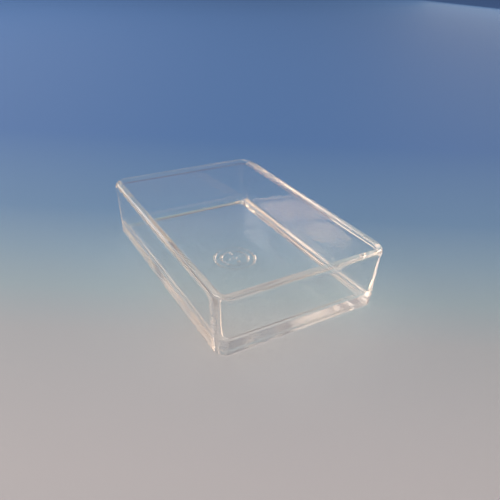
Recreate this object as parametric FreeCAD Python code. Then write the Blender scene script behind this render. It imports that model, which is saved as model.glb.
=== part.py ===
"""Rectangular pressed-glass laboratory tank, open at the top.

The tank is a single pressing: a thick floor, four walls that flare slightly, a low bead round the rim, a
fillet where the walls meet the floor, and a shallow recess underneath that holds a plain centring mark.
The outside is a tapered block whose corners are tighter at the base than at the rim, and the hollow is a
tapered block with tight corners and a wide fillet round its foot. The bead and the recess each have one
section all the way round, which is extruded along the four sides and revolved round the four corners.

Frame: millimetres, +Z up, +X along the long side. The origin is the centre of the base, on the
plane that the tank stands on.
"""

import FreeCAD
import Part

import math
import os

# Driving sizes, measured over the rim bead.
RIM_LENGTH = 180.0
RIM_WIDTH = 122.0
HEIGHT = 42.0
RIM_CORNER_RADIUS = 12.4
BASE_CORNER_RADIUS = 7.7  # of the outer face, where it would meet the plane of the base

# The wall's section.
RIM_THICKNESS = 6.0
BEAD_OVERHANG = 0.5
BEAD_HEIGHT = 4.4
OUTER_DRAFT = 2.2  # how far the outer face leans out between the base and the rim
INNER_DRAFT = 1.8  # the same for the inner face, between the floor and the rim
FLOOR_TOP = 5.8
FOOT_WIDTH = 6.6
RECESS_DEPTH = 0.8
RECESS_SLOPE = 1.2

# Roundings of the section.
BASE_ROUNDING = 1.2
BEAD_EDGE_ROUNDING = 0.25
RIM_OUTER_ROUNDING = 2.1
RIM_INNER_ROUNDING = 1.7
INNER_CORNER_RADIUS = 3.4
FLOOR_FILLET = 6.8
RECESS_ROUNDING = 0.5

# The centring mark, raised from the recess: two rings, four ticks pointing inwards and a centre dot.
MARK_DIAMETER = 32.0
MARK_INNER_RING_DIAMETER = 22.0
MARK_LINE_WIDTH = 2.2
MARK_RELIEF = 0.7
MARK_EDGE_SLOPE = 0.8
MARK_TICK_LENGTH = 4.0
MARK_DOT_DIAMETER = 4.0

# The sides of every ring are as long as the straight stretches between the rim's corner arcs.
CORE_LENGTH = RIM_LENGTH - 2 * RIM_CORNER_RADIUS
CORE_WIDTH = RIM_WIDTH - 2 * RIM_CORNER_RADIUS

# Distances from the centres of the rim's corner arcs out to the faces of the wall.
OUTER_AT_BASE = RIM_CORNER_RADIUS - BEAD_OVERHANG - OUTER_DRAFT
INNER_LEAN = INNER_DRAFT / (HEIGHT - FLOOR_TOP)  # per millimetre of height

CLEARANCE = 3.0  # how far a cutting shape reaches past the tank

UP = FreeCAD.Vector(0, 0, 1)


def rounded_face(corners):
    """A face in the XZ plane with corners (x, z, radius), each rounded by its radius."""
    points = [FreeCAD.Vector(x, 0, z) for x, z, _ in corners]
    starts, middles, ends = [], [], []
    for i, corner in enumerate(points):
        before = (points[i - 1] - corner).normalize()
        after = (points[(i + 1) % len(points)] - corner).normalize()
        half_angle = before.getAngle(after) / 2
        radius = corners[i][2]
        reach = radius / math.tan(half_angle)
        starts.append(corner + before * reach)
        ends.append(corner + after * reach)
        bisector = (before + after).normalize()
        middles.append(corner + bisector * radius * (1 / math.sin(half_angle) - 1))
    edges = []
    for i, (_, _, radius) in enumerate(corners):
        if radius > 0:
            edges.append(Part.Arc(starts[i], middles[i], ends[i]).toShape())
        edges.append(Part.LineSegment(ends[i], starts[(i + 1) % len(corners)]).toShape())
    return Part.Face(Part.Wire(edges))


def ring(section):
    """The section carried round the rounded rectangle: four straight runs and four quarter turns.

    The section's x runs outwards from the centres of the rim's corner arcs.
    """
    pieces = []
    half_length, half_width = CORE_LENGTH / 2, CORE_WIDTH / 2
    sides = [
        # centre of the corner at the side's start, heading of the section, run along the side
        (half_length, -half_width, 0, CORE_WIDTH),
        (half_length, half_width, 90, CORE_LENGTH),
        (-half_length, half_width, 180, CORE_WIDTH),
        (-half_length, -half_width, 270, CORE_LENGTH),
    ]
    for x, y, heading, run in sides:
        centre = FreeCAD.Vector(x, y, 0)
        start = section.copy()
        start.rotate(FreeCAD.Vector(), UP, heading)
        start.translate(centre)
        turn = math.radians(heading + 90)
        along = FreeCAD.Vector(math.cos(turn), math.sin(turn), 0)
        pieces.append(start.extrude(along * run))
        pieces.append(start.revolve(centre, UP, -90))
    return pieces


def filled_ring(section, bottom, top):
    """The ring with a box in its middle, between the heights bottom and top, as one solid."""
    corner = FreeCAD.Vector(-CORE_LENGTH / 2, -CORE_WIDTH / 2, bottom)
    box = Part.makeBox(CORE_LENGTH, CORE_WIDTH, top - bottom, corner)
    return box.fuse(ring(section)).removeSplitter()


def outline(inset, radius, z):
    """A rounded rectangle at height z, that far inside the rim's length and width."""
    arcs = []
    for turn, (x, y) in enumerate([(1, -1), (1, 1), (-1, 1), (-1, -1)]):
        across, along = RIM_LENGTH / 2 - inset - radius, RIM_WIDTH / 2 - inset - radius
        centre = FreeCAD.Vector(x * across, y * along, z)
        points = []
        for degrees in (-90, -45, 0):
            angle = math.radians(degrees + 90 * turn)
            points.append(centre + FreeCAD.Vector(math.cos(angle), math.sin(angle), 0) * radius)
        arcs.append(points)
    edges = []
    for i, arc in enumerate(arcs):
        edges.append(Part.Arc(*arc).toShape())
        edges.append(Part.LineSegment(arc[2], arcs[(i + 1) % 4][0]).toShape())
    return Part.Wire(edges)


def outer_block():
    """The outside of the walls as a solid block, with its base edge rounded."""
    top = HEIGHT - RIM_OUTER_ROUNDING
    risen = top / HEIGHT
    base_inset = BEAD_OVERHANG + OUTER_DRAFT
    top_inset = base_inset - OUTER_DRAFT * risen
    top_radius = BASE_CORNER_RADIUS + (RIM_CORNER_RADIUS - BEAD_OVERHANG - BASE_CORNER_RADIUS) * risen
    low = outline(base_inset, BASE_CORNER_RADIUS, 0)
    high = outline(top_inset, top_radius, top)
    block = Part.makeLoft([low, high], True, True)
    base_edges = [edge for edge in block.Edges if edge.BoundBox.ZMax < 0.001]
    return block.makeFillet(BASE_ROUNDING, base_edges)


def rectangle(inset, z):
    """A rectangle at height z, that far inside the rim's length and width."""
    x, y = RIM_LENGTH / 2 - inset, RIM_WIDTH / 2 - inset
    points = [FreeCAD.Vector(*spot, z) for spot in ((x, -y), (x, y), (-x, y), (-x, -y))]
    return Part.makePolygon(points + points[:1])


def hollow():
    """What the tank holds: the space above the floor and between the walls.

    The floor's fillet is wider than the corners are round, so it is made while the corners are still sharp.
    """
    past_rim = HEIGHT + CLEARANCE
    low = rectangle(RIM_THICKNESS + INNER_DRAFT, FLOOR_TOP)
    high = rectangle(RIM_THICKNESS - INNER_LEAN * CLEARANCE, past_rim)
    block = Part.makeLoft([low, high], True, True)
    foot = [edge for edge in block.Edges if edge.BoundBox.ZMax < FLOOR_TOP + 0.001]
    block = block.makeFillet(FLOOR_FILLET, foot)
    upright = [edge for edge in block.Edges if edge.BoundBox.ZLength > HEIGHT / 2]
    return block.makeFillet(INNER_CORNER_RADIUS, upright)


def recess():
    """The space under the middle of the floor, inside the land that the tank stands on."""
    land_edge = OUTER_AT_BASE - FOOT_WIDTH
    section = rounded_face(
        [
            (0, RECESS_DEPTH, 0),
            (0, -CLEARANCE, 0),
            (land_edge, -CLEARANCE, 0),
            (land_edge, 0, 0),
            (land_edge - RECESS_SLOPE, RECESS_DEPTH, RECESS_ROUNDING),
        ]
    )
    return filled_ring(section, -CLEARANCE, RECESS_DEPTH)


def bead():
    """The bead that stands out round the rim, with all that it surrounds."""
    root = HEIGHT - BEAD_HEIGHT
    outer_at_root = OUTER_AT_BASE + OUTER_DRAFT * root / HEIGHT
    section = rounded_face(
        [
            (0, HEIGHT, 0),
            (0, root, 0),
            (outer_at_root, root, 0),
            (RIM_CORNER_RADIUS, root + BEAD_OVERHANG, BEAD_EDGE_ROUNDING),
            (RIM_CORNER_RADIUS, HEIGHT, RIM_OUTER_ROUNDING),
        ]
    )
    return filled_ring(section, root, HEIGHT)


def walls():
    """The block with its bead, hollowed out, and rounded round the mouth."""
    body = outer_block().fuse(bead()).cut(hollow())
    x, y = RIM_LENGTH / 2 - RIM_THICKNESS + 0.01, RIM_WIDTH / 2 - RIM_THICKNESS + 0.01
    mouth = FreeCAD.BoundBox(-x, -y, HEIGHT - 0.01, x, y, HEIGHT + 0.01)
    mouth_edges = [edge for edge in body.Edges if mouth.isInside(edge.BoundBox)]
    return body.makeFillet(RIM_INNER_ROUNDING, mouth_edges)


def raised_bar(length, centre_x, turn):
    """One tick of the mark: a bar with sloping sides, centred at centre_x and then turned about Z."""
    rings = []
    for z, inset in ((RECESS_DEPTH, 0), (RECESS_DEPTH - MARK_RELIEF, MARK_EDGE_SLOPE)):
        x, y = length / 2 - inset, MARK_LINE_WIDTH / 2 - inset
        corners = [(-x, -y), (x, -y), (x, y), (-x, y)]
        points = [FreeCAD.Vector(centre_x + dx, dy, z) for dx, dy in corners]
        rings.append(Part.makePolygon(points + points[:1]))
    bar = Part.makeLoft(rings, True, True)
    bar.rotate(FreeCAD.Vector(), UP, turn)
    return bar


def raised_circle(diameter):
    """One ring of the mark, with sloping sides, that far across."""
    low = RECESS_DEPTH - MARK_RELIEF
    outer, inner = diameter / 2, diameter / 2 - MARK_LINE_WIDTH
    section = rounded_face(
        [
            (inner, RECESS_DEPTH, 0),
            (inner + MARK_EDGE_SLOPE, low, 0),
            (outer - MARK_EDGE_SLOPE, low, 0),
            (outer, RECESS_DEPTH, 0),
        ]
    )
    return section.revolve(FreeCAD.Vector(), UP, 360)


def centring_mark():
    """The raised rings, the four ticks inside them and the centre dot."""
    rings = [raised_circle(diameter) for diameter in (MARK_DIAMETER, MARK_INNER_RING_DIAMETER)]
    dot_radius = MARK_DOT_DIAMETER / 2
    dot_face = FreeCAD.Vector(0, 0, RECESS_DEPTH - MARK_RELIEF)
    dot = Part.makeCone(dot_radius - MARK_EDGE_SLOPE, dot_radius, MARK_RELIEF, dot_face)
    ring_inside = MARK_INNER_RING_DIAMETER / 2 - MARK_LINE_WIDTH
    tick_centre = ring_inside - MARK_TICK_LENGTH / 2 + MARK_EDGE_SLOPE
    ticks = [raised_bar(MARK_TICK_LENGTH, tick_centre, turn) for turn in (0, 90, 180, 270)]
    return rings + [dot] + ticks


def glass_tank():
    """The whole pressing as one solid."""
    return walls().cut(recess()).fuse(centring_mark()).removeSplitter().Solids[0]


def main():
    os.makedirs("parts", exist_ok=True)
    parts = {"glass_tank": glass_tank()}
    for name, shape in parts.items():
        shape.exportStep(f"parts/{name}.step")
        print(name, "valid", shape.isValid(), "volume", round(shape.Volume), "mm3")


main()
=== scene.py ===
"""Clear pressed-glass laboratory tank on a pale floor.

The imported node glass_tank gives the size and the place. The tank shown here is the same pressing with a
denser, smoother skin: the wall's section is swept round the rounded rectangle, and the floor's two faces
are carried on inwards in rings, down to the centring mark. All lengths are in metres.
"""

import math

import bpy
import numpy as np
from mathutils import Matrix, Vector


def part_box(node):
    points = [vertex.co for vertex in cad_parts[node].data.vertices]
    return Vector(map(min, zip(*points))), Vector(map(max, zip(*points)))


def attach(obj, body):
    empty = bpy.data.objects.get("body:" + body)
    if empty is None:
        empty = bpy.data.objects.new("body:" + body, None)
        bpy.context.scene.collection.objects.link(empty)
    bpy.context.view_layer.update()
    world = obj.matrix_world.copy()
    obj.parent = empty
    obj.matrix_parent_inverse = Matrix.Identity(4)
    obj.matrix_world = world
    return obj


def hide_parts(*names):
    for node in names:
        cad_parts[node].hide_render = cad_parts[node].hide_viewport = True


MM = 0.001

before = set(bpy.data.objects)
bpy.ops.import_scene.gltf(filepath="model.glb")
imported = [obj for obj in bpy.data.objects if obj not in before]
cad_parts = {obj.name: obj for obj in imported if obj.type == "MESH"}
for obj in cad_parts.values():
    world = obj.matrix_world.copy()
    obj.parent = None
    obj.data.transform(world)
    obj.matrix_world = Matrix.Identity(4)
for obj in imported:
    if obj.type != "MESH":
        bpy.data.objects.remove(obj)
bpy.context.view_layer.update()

# The wall's section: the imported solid's sizes, with a few edges rounded that are nearly sharp in it.
HALF_LENGTH, HALF_WIDTH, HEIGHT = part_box("glass_tank")[1]
CORNER_RADIUS = 12.4 * MM
BASE_CORNER_RADIUS = 7.7 * MM  # of the outer face, where it would meet the plane of the base
RIM_THICKNESS = 6.0 * MM
BEAD_OVERHANG = 0.5 * MM
BEAD_HEIGHT = 4.4 * MM
OUTER_DRAFT = 2.2 * MM
INNER_DRAFT = 1.8 * MM
FLOOR_TOP = 5.8 * MM
FOOT_WIDTH = 6.6 * MM
RECESS_DEPTH = 0.8 * MM
RECESS_SLOPE = 1.2 * MM
BASE_ROUNDING = 1.2 * MM
BEAD_ROOT_ROUNDING = 0.9 * MM
BEAD_EDGE_ROUNDING = 0.45 * MM
RIM_OUTER_ROUNDING = 2.1 * MM
RIM_INNER_ROUNDING = 1.7 * MM
INNER_CORNER_RADIUS = 3.4 * MM
FLOOR_FILLET = 6.8 * MM
RECESS_ROUNDING = 0.5 * MM

# The centring mark under the floor: two rings, four ticks pointing inwards and a dot.
MARK_RADIUS = 16.0 * MM
INNER_RING_RADIUS = 11.0 * MM
MARK_LINE = 2.2 * MM
MARK_RELIEF = 0.7 * MM
MARK_SLOPE = 0.95 * MM  # the width of the eased side of every line
TICK_LENGTH = 4.0 * MM
DOT_RADIUS = 2.0 * MM
MARK_FIELD = 18.0 * MM  # the disc that is meshed finely enough for the mark

# The slight unevenness of a pressed surface, and its gloss: the underside is ground, except at the mark.
WAVE_DEPTH = 0.004 * MM
WAVE_LENGTH = 30 * MM
WAVE_COUNT = 9
WAVE_SEED = 4
WAVE_START = 0.2 * MM  # the foot below this height is flat, and the waves are full WAVE_FADE above it
WAVE_FADE = 2 * MM
GLOSS_ROUGHNESS = 0.04
GROUND_ROUGHNESS = 0.12
GROUND_EDGE = 0.5 * MM  # the height over which the ground underside gives way to gloss
GLASS_INDEX = 1.52
GLASS_TINT = (0.985, 0.99, 0.988, 1)
LIGHT_THROUGH_GLASS = (0.93, 0.94, 0.94, 1)

# How finely the pressing is meshed.
ARC_STEPS = 10
CORNER_STEPS = 18
STRAIGHT_STEP = 1.6 * MM
WALL_STEP = 2.0 * MM
FLOOR_RINGS = 22
MARK_RING_STEP = 0.3 * MM
TOP_RING_STEP = 2.0 * MM
LEAST_RADIUS = 0.3 * MM  # of the corners under the foot

# The floor's paper, with painted shade: its paint turns from grey to a darker pale blue along its heading,
# the paper's own blue with the light's falloff towards the back painted in. Metres from the tank's centre,
# and colour.
PAPER_REACH = 6.0
PAPER_HEIGHT = -0.2 * MM
PAPER_ROUGHNESS = 0.7
PAPER_HEADING = (-0.85, 0.527, 0)
PAPER_PAINT_AND_PAINTED_SHADE = [
    (-0.18, (0.64, 0.67, 0.76)),
    (-0.085, (0.53, 0.60, 0.70)),
    (-0.04, (0.41, 0.57, 0.71)),
    (0.01, (0.305, 0.49, 0.71)),
    (0.08, (0.185, 0.37, 0.68)),
    (0.28, (0.10, 0.26, 0.65)),
]

# The studio's lamps, as the tank sees them: name, azimuth from +X towards +Y, elevation, width and
# height, all four in degrees, and radiance in red, green and blue.
PANEL_DISTANCE = 2.5
SOFT_BOXES = [
    ("key", 217, 20, 18, 11, (6.9, 4.5, 2.8)),
    ("key_glow", 234, 18, 24, 34, (1.35, 1.2, 1.05)),
    ("left_band", 188, 30, 36, 12, (2.7, 2.4, 2.1)),
    ("high_left", 236, 60, 40, 20, (3.3, 2.6, 2.1)),
    ("right", 30, 19, 60, 34, (0.75, 0.6, 0.45)),
    ("back", 98, 14, 66, 26, (1.15, 0.95, 0.65)),
    ("front", 330, 26, 50, 28, (1.2, 0.8, 0.5)),
]

# The dim studio round them: the sines of the elevations where its low colour ends and its high one starts.
STUDIO_LOW = (0.6, (0.15, 0.11, 0.12, 1))
STUDIO_HIGH = (0.95, (0.34, 0.44, 0.46, 1))

# The camera, which looks down on the tank from beyond one of its short sides.
CAMERA_PLACE = (0.27631, -0.15834, 0.19859)
CAMERA_HEADING = (-0.7320, 0.4536, -0.5085)
CAMERA_ROLL = 2.679  # degrees
LENS = 36.37
SENSOR_WIDTH = 36
CLIP_START = 0.01

LIGHT_BOUNCES = 48


def arc_points(corner, before, after, radius, steps):
    """The arc that rounds corner, between the directions to the points before and after it."""
    half = math.acos(float(np.clip(before @ after, -1, 1))) / 2
    bisector = (before + after) / np.linalg.norm(before + after)
    centre = corner + bisector * radius / math.sin(half)
    first = corner + before * radius / math.tan(half) - centre
    last = corner + after * radius / math.tan(half) - centre
    sweep = math.pi - 2 * half
    points = []
    for k in range(steps + 1):
        t = k / steps
        a, b = math.sin((1 - t) * sweep) / math.sin(sweep), math.sin(t * sweep) / math.sin(sweep)
        points.append(centre + a * first + b * last)
    return points


def wall_section():
    """Points (u, z) of the wall's section, from the recess, round the outside and the rim, to the floor.

    u runs outwards from the line that joins the corner arcs' centres.
    """
    outer_top = CORNER_RADIUS - BEAD_OVERHANG
    outer_base = outer_top - OUTER_DRAFT
    bead_root = HEIGHT - BEAD_HEIGHT
    outer_at_root = outer_base + OUTER_DRAFT * bead_root / HEIGHT
    inner_top = CORNER_RADIUS - RIM_THICKNESS
    land_edge = outer_base - FOOT_WIDTH
    corners = [
        (0, RECESS_DEPTH, 0),
        (land_edge - RECESS_SLOPE, RECESS_DEPTH, RECESS_ROUNDING),
        (land_edge, 0, RECESS_ROUNDING),
        (outer_base, 0, BASE_ROUNDING),
        (outer_at_root, bead_root, BEAD_ROOT_ROUNDING),
        (CORNER_RADIUS, bead_root + BEAD_OVERHANG, BEAD_EDGE_ROUNDING),
        (CORNER_RADIUS, HEIGHT, RIM_OUTER_ROUNDING),
        (inner_top, HEIGHT, RIM_INNER_ROUNDING),
        (inner_top - INNER_DRAFT, FLOOR_TOP, FLOOR_FILLET),
        (0, FLOOR_TOP, 0),
    ]
    spots = [np.array(c[:2], float) for c in corners]
    section = []
    for i in range(1, len(corners) - 1):
        before, after = spots[i - 1] - spots[i], spots[i + 1] - spots[i]
        before, after = before / np.linalg.norm(before), after / np.linalg.norm(after)
        arc = arc_points(spots[i], before, after, corners[i][2], ARC_STEPS)
        if section:
            gap = arc[0] - section[-1]
            parts = max(1, round(float(np.linalg.norm(gap)) / WALL_STEP))
            start = section[-1]
            section += [start + gap * k / parts for k in range(1, parts)]
        section += arc
    return section


def stations():
    """Round the outline: (centre x, centre y, outward x, outward y) for each place the section stands."""
    core_x, core_y = HALF_LENGTH - CORNER_RADIUS, HALF_WIDTH - CORNER_RADIUS
    places = []
    sides = [
        # corner's centre, heading of its first place, run of the side after it
        (core_x, -core_y, -90, 2 * core_y),
        (core_x, core_y, 0, 2 * core_x),
        (-core_x, core_y, 90, 2 * core_y),
        (-core_x, -core_y, 180, 2 * core_x),
    ]
    for x, y, heading, run in sides:
        for k in range(CORNER_STEPS + 1):
            a = math.radians(heading + 90 * k / CORNER_STEPS)
            places.append((x, y, math.cos(a), math.sin(a)))
        out = math.radians(heading + 90)
        along = math.radians(heading + 180)
        parts = round(run / STRAIGHT_STEP)
        for k in range(1, parts):
            step = run * k / parts
            centre = (x + math.cos(along) * step, y + math.sin(along) * step)
            places.append((*centre, math.cos(out), math.sin(out)))
    return np.array(places)


def smooth_step(distance, width):
    """1 inside an edge and 0 outside it, for a signed distance that is positive inside."""
    t = np.clip(distance / width, 0, 1)
    return t * t * (3 - 2 * t)


def mark_height(x, y):
    """How far the centring mark stands out of the recess at x, y."""
    r = np.hypot(x, y)
    ring = 0
    for outer in (MARK_RADIUS, INNER_RING_RADIUS):
        from_middle = np.abs(r - (outer - MARK_LINE / 2))
        ring = np.maximum(ring, smooth_step(MARK_LINE / 2 - from_middle, MARK_SLOPE))
    dot = smooth_step(DOT_RADIUS - r, MARK_SLOPE)
    tick_middle = INNER_RING_RADIUS - MARK_LINE - TICK_LENGTH / 2
    long_way, cross_way = np.maximum(np.abs(x), np.abs(y)), np.minimum(np.abs(x), np.abs(y))
    along = TICK_LENGTH / 2 + MARK_SLOPE - np.abs(long_way - tick_middle)
    tick = smooth_step(np.minimum(along, MARK_LINE / 2 - cross_way), MARK_SLOPE)
    return MARK_RELIEF * np.maximum(np.maximum(ring, dot), tick)


def inner_rings(edge, step):
    """Rings of points from edge inwards to the centre: evenly to the mark's field, then step apart."""
    angle = np.arctan2(edge[:, 1], edge[:, 0])
    unit = np.stack([np.cos(angle), np.sin(angle)], 1)
    rings = []
    for k in range(1, FLOOR_RINGS + 1):
        t = k / FLOOR_RINGS
        rings.append(edge * (1 - t) + unit * MARK_FIELD * t)
    steps = round(MARK_FIELD / step)
    for k in range(1, steps):
        rings.append(unit * MARK_FIELD * (1 - k / steps))
    return rings


def waviness(points):
    """A smooth random field over points, about -1 to 1: the sum of plane waves of uneven length."""
    rng = np.random.default_rng(WAVE_SEED)
    total = np.zeros(len(points))
    for _ in range(WAVE_COUNT):
        way = rng.normal(size=3)
        way /= np.linalg.norm(way)
        number = 2 * math.pi / (WAVE_LENGTH * rng.uniform(0.6, 1.6))
        total += np.sin(points @ way * number + rng.uniform(0, 2 * math.pi))
    return total / math.sqrt(WAVE_COUNT / 2) / 2


def outer_corner(u, z):
    """The radius of the skin's corners at height z, on the outside, where they tighten downwards."""
    tightening = CORNER_RADIUS - BEAD_OVERHANG - OUTER_DRAFT - BASE_CORNER_RADIUS
    return max(u - tightening * (1 - z / HEIGHT), LEAST_RADIUS)


def skin_rings():
    """Rings of points, from the underside's middle, up the outside, over the rim and in over the floor."""
    places = stations()
    section = wall_section()
    crown = int(np.argmax([z for _, z in section]))
    core = np.array([HALF_LENGTH - CORNER_RADIUS, HALF_WIDTH - CORNER_RADIUS])
    rings = []
    for k, (u, z) in enumerate(section):
        radius = outer_corner(u, z) if k <= crown else INNER_CORNER_RADIUS
        ring = np.empty((len(places), 3))
        ring[:, :2] = places[:, :2] * (1 + (u - radius) / core) + places[:, 2:] * radius
        ring[:, 2] = z
        rings.append(ring)
    for ring in inner_rings(rings[-1][:, :2], TOP_RING_STEP):
        rings.append(np.column_stack([ring, np.full(len(places), FLOOR_TOP)]))
    under = []
    for ring in inner_rings(rings[0][:, :2], MARK_RING_STEP):
        under.append(np.column_stack([ring, RECESS_DEPTH - mark_height(ring[:, 0], ring[:, 1])]))
    return under[::-1] + rings


def skin_faces(rings, count):
    """Quads between that many rings of count points, and a fan to the point that closes each end."""
    faces = []
    for k in range(rings - 1):
        for i in range(count):
            j = (i + 1) % count
            faces.append((k * count + i, k * count + j, (k + 1) * count + j, (k + 1) * count + i))
    bottom, top = rings * count, rings * count + 1
    last = (rings - 1) * count
    for i in range(count):
        j = (i + 1) % count
        faces.append((bottom, j, i))
        faces.append((top, last + i, last + j))
    return faces


def add_waves(mesh, points):
    """Lift the mesh's points along their normals by the unevenness of a pressed surface."""
    normals = np.empty(len(points) * 3, np.float32)
    mesh.vertices.foreach_get("normal", normals)
    lift = WAVE_DEPTH * waviness(points)
    lift *= smooth_step(points[:, 2] - WAVE_START, WAVE_FADE)
    points = points + normals.reshape(-1, 3) * lift[:, None]
    mesh.vertices.foreach_set("co", points.astype(np.float32).ravel())
    mesh.update()


def pressing():
    """The tank as one closed skin."""
    rings = skin_rings()
    low_centre, high_centre = [0, 0, RECESS_DEPTH - MARK_RELIEF], [0, 0, FLOOR_TOP]
    points = np.vstack([*rings, low_centre, high_centre])
    mesh = bpy.data.meshes.new("tank_pressing")
    mesh.from_pydata([tuple(p) for p in points], [], skin_faces(len(rings), len(rings[0])))
    mesh.update()
    add_waves(mesh, points)
    mesh.polygons.foreach_set("use_smooth", [True] * len(mesh.polygons))
    mesh.update()
    skin = bpy.data.objects.new("tank", mesh)
    bpy.context.scene.collection.objects.link(skin)
    return skin


def map_range(nodes, links, value, start, end):
    """Nodes that take value from start's (input, output) to end's, and hold it outside them."""
    span = nodes.new("ShaderNodeMapRange")
    span.inputs["From Min"].default_value = start[0]
    span.inputs["From Max"].default_value = end[0]
    span.inputs["To Min"].default_value = start[1]
    span.inputs["To Max"].default_value = end[1]
    links.new(value, span.inputs["Value"])
    return span.outputs["Result"]


def polish(nodes, links):
    """The glass's roughness: ground underneath, glossy above and round the mark."""
    place = nodes.new("ShaderNodeTexCoord")
    split = nodes.new("ShaderNodeSeparateXYZ")
    links.new(place.outputs["Object"], split.inputs[0])
    glossy_from = RECESS_DEPTH + GROUND_EDGE
    by_height = map_range(
        nodes, links, split.outputs["Z"], (RECESS_DEPTH, GROUND_ROUGHNESS), (glossy_from, GLOSS_ROUGHNESS)
    )
    flat = nodes.new("ShaderNodeVectorMath")
    flat.operation = "MULTIPLY"
    flat.inputs[1].default_value = (1, 1, 0)
    links.new(place.outputs["Object"], flat.inputs[0])
    reach = nodes.new("ShaderNodeVectorMath")
    reach.operation = "LENGTH"
    links.new(flat.outputs["Vector"], reach.inputs[0])
    by_mark = map_range(
        nodes, links, reach.outputs["Value"], (MARK_RADIUS, GLOSS_ROUGHNESS), (MARK_FIELD, GROUND_ROUGHNESS)
    )
    least = nodes.new("ShaderNodeMath")
    least.operation = "MINIMUM"
    links.new(by_height, least.inputs[0])
    links.new(by_mark, least.inputs[1])
    return least.outputs["Value"]


def clear_glass():
    """Soda-lime glass, which also lets the lamps' light through to the floor."""
    material = bpy.data.materials.new("clear_glass")
    material.use_nodes = True
    nodes, links = material.node_tree.nodes, material.node_tree.links
    glass = nodes["Principled BSDF"]
    output = nodes["Material Output"]
    glass.inputs["Transmission Weight"].default_value = 1
    glass.inputs["IOR"].default_value = GLASS_INDEX
    glass.inputs["Base Color"].default_value = GLASS_TINT
    links.new(polish(nodes, links), glass.inputs["Roughness"])
    through = nodes.new("ShaderNodeBsdfTransparent")
    through.inputs["Color"].default_value = LIGHT_THROUGH_GLASS
    path = nodes.new("ShaderNodeLightPath")
    mix = nodes.new("ShaderNodeMixShader")
    links.new(path.outputs["Is Shadow Ray"], mix.inputs[0])
    links.new(glass.outputs["BSDF"], mix.inputs[1])
    links.new(through.outputs["BSDF"], mix.inputs[2])
    links.new(mix.outputs["Shader"], output.inputs["Surface"])
    return material


def paper_with_painted_shade():
    """Matt paper painted from grey in front of the tank to pale blue behind it: the paper's own blue, with
    painted shade that darkens it towards the back, where the light falls off.
    """
    material = bpy.data.materials.new("floor_paint_and_painted_shade")
    material.use_nodes = True
    nodes, links = material.node_tree.nodes, material.node_tree.links
    paint = nodes["Principled BSDF"]
    paint.inputs["Roughness"].default_value = PAPER_ROUGHNESS
    place = nodes.new("ShaderNodeTexCoord")
    along = nodes.new("ShaderNodeVectorMath")
    along.operation = "DOT_PRODUCT"
    along.inputs[1].default_value = PAPER_HEADING
    links.new(place.outputs["Object"], along.inputs[0])
    nearest, furthest = PAPER_PAINT_AND_PAINTED_SHADE[0], PAPER_PAINT_AND_PAINTED_SHADE[-1]
    spread = map_range(nodes, links, along.outputs["Value"], (nearest[0], 0), (furthest[0], 1))
    # The ramp gives the paper's colour with painted shade: darker and bluer towards the back, where the
    # light falls off.
    shade = nodes.new("ShaderNodeValToRGB")
    stops = shade.color_ramp.elements
    for distance, colour in PAPER_PAINT_AND_PAINTED_SHADE[1:-1]:
        stops.new((distance - nearest[0]) / (furthest[0] - nearest[0])).color = (*colour, 1)
    stops[0].color = (*nearest[1], 1)
    stops[-1].color = (*furthest[1], 1)
    links.new(spread, shade.inputs[0])
    links.new(shade.outputs["Color"], paint.inputs["Base Color"])
    return material


def floor():
    """The pale floor, just under the tank's base, with painted shade darkening it towards the back."""
    signs = ((-1, -1), (1, -1), (1, 1), (-1, 1))
    corners = [(x * PAPER_REACH, y * PAPER_REACH, PAPER_HEIGHT) for x, y in signs]
    mesh = bpy.data.meshes.new("floor")
    mesh.from_pydata(corners, [], [(0, 1, 2, 3)])
    mesh.materials.append(paper_with_painted_shade())
    ground = bpy.data.objects.new("floor", mesh)
    bpy.context.scene.collection.objects.link(ground)


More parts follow.
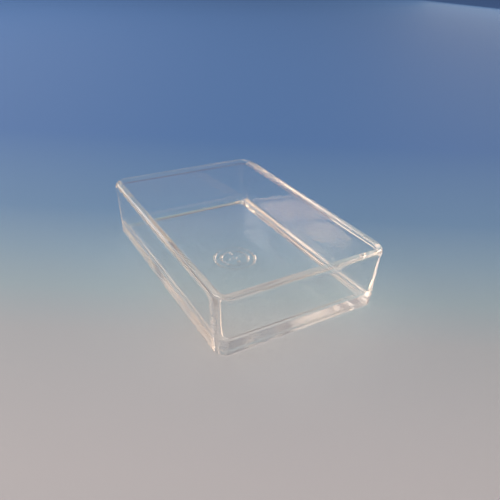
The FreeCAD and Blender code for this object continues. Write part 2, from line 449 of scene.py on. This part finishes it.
def soft_box(name, azimuth, elevation, width, height, radiance):
    """A rectangular lamp at PANEL_DISTANCE from the tank, facing it."""
    turn, rise = math.radians(azimuth), math.radians(elevation)
    away = Vector((math.cos(turn) * math.cos(rise), math.sin(turn) * math.cos(rise), math.sin(rise)))
    light = bpy.data.lights.new(name, "AREA")
    light.shape = "RECTANGLE"
    light.size = 2 * PANEL_DISTANCE * math.tan(math.radians(width / 2))
    light.size_y = 2 * PANEL_DISTANCE * math.tan(math.radians(height / 2))
    brightest = max(radiance)
    light.color = [part / brightest for part in radiance]
    light.energy = brightest * math.pi * light.size * light.size_y
    lamp = bpy.data.objects.new(name, light)
    lamp.location = away * PANEL_DISTANCE
    lamp.rotation_euler = away.to_track_quat("Z", "Y").to_euler()
    lamp.visible_camera = False
    bpy.context.scene.collection.objects.link(lamp)


def camera():
    """The camera, with its slight tilt to one side."""
    data = bpy.data.cameras.new("camera")
    data.lens = LENS
    data.sensor_width = SENSOR_WIDTH
    data.clip_start = CLIP_START
    eye = bpy.data.objects.new("camera", data)
    bpy.context.scene.collection.objects.link(eye)
    forward = Vector(CAMERA_HEADING).normalized()
    level = forward.cross(Vector((0, 0, 1))).normalized()
    above = level.cross(forward)
    roll = math.radians(CAMERA_ROLL)
    right = level * math.cos(roll) + above * math.sin(roll)
    up = above * math.cos(roll) - level * math.sin(roll)
    turn = Matrix((right, up, -forward)).transposed().to_4x4()
    turn.translation = Vector(CAMERA_PLACE)
    eye.matrix_world = turn
    bpy.context.scene.camera = eye


def surroundings():
    """The studio round the tank: dim, and cool overhead."""
    world = bpy.data.worlds.new("studio")
    world.use_nodes = True
    nodes, links = world.node_tree.nodes, world.node_tree.links
    background = nodes["Background"]
    place = nodes.new("ShaderNodeTexCoord")
    split = nodes.new("ShaderNodeSeparateXYZ")
    blend = nodes.new("ShaderNodeValToRGB")
    for stop, (position, colour) in zip(blend.color_ramp.elements, (STUDIO_LOW, STUDIO_HIGH)):
        stop.position = position
        stop.color = colour
    links.new(place.outputs["Generated"], split.inputs[0])
    links.new(split.outputs["Z"], blend.inputs[0])
    links.new(blend.outputs["Color"], background.inputs["Color"])
    bpy.context.scene.world = world


tank = pressing()
tank.data.materials.append(clear_glass())
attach(tank, "root")
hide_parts("glass_tank")

floor()
surroundings()
for row in SOFT_BOXES:
    soft_box(*row)
camera()
bpy.context.scene.view_settings.view_transform = "Standard"
# Light is carried along inside the floor and the walls, so it needs many bounces to find its way out.
paths = bpy.context.scene.cycles
paths.max_bounces = LIGHT_BOUNCES
paths.glossy_bounces = LIGHT_BOUNCES
paths.transmission_bounces = LIGHT_BOUNCES
# The passes for colour and facing are speckled wherever they are seen through the glass.
paths.denoising_input_passes = "RGB"
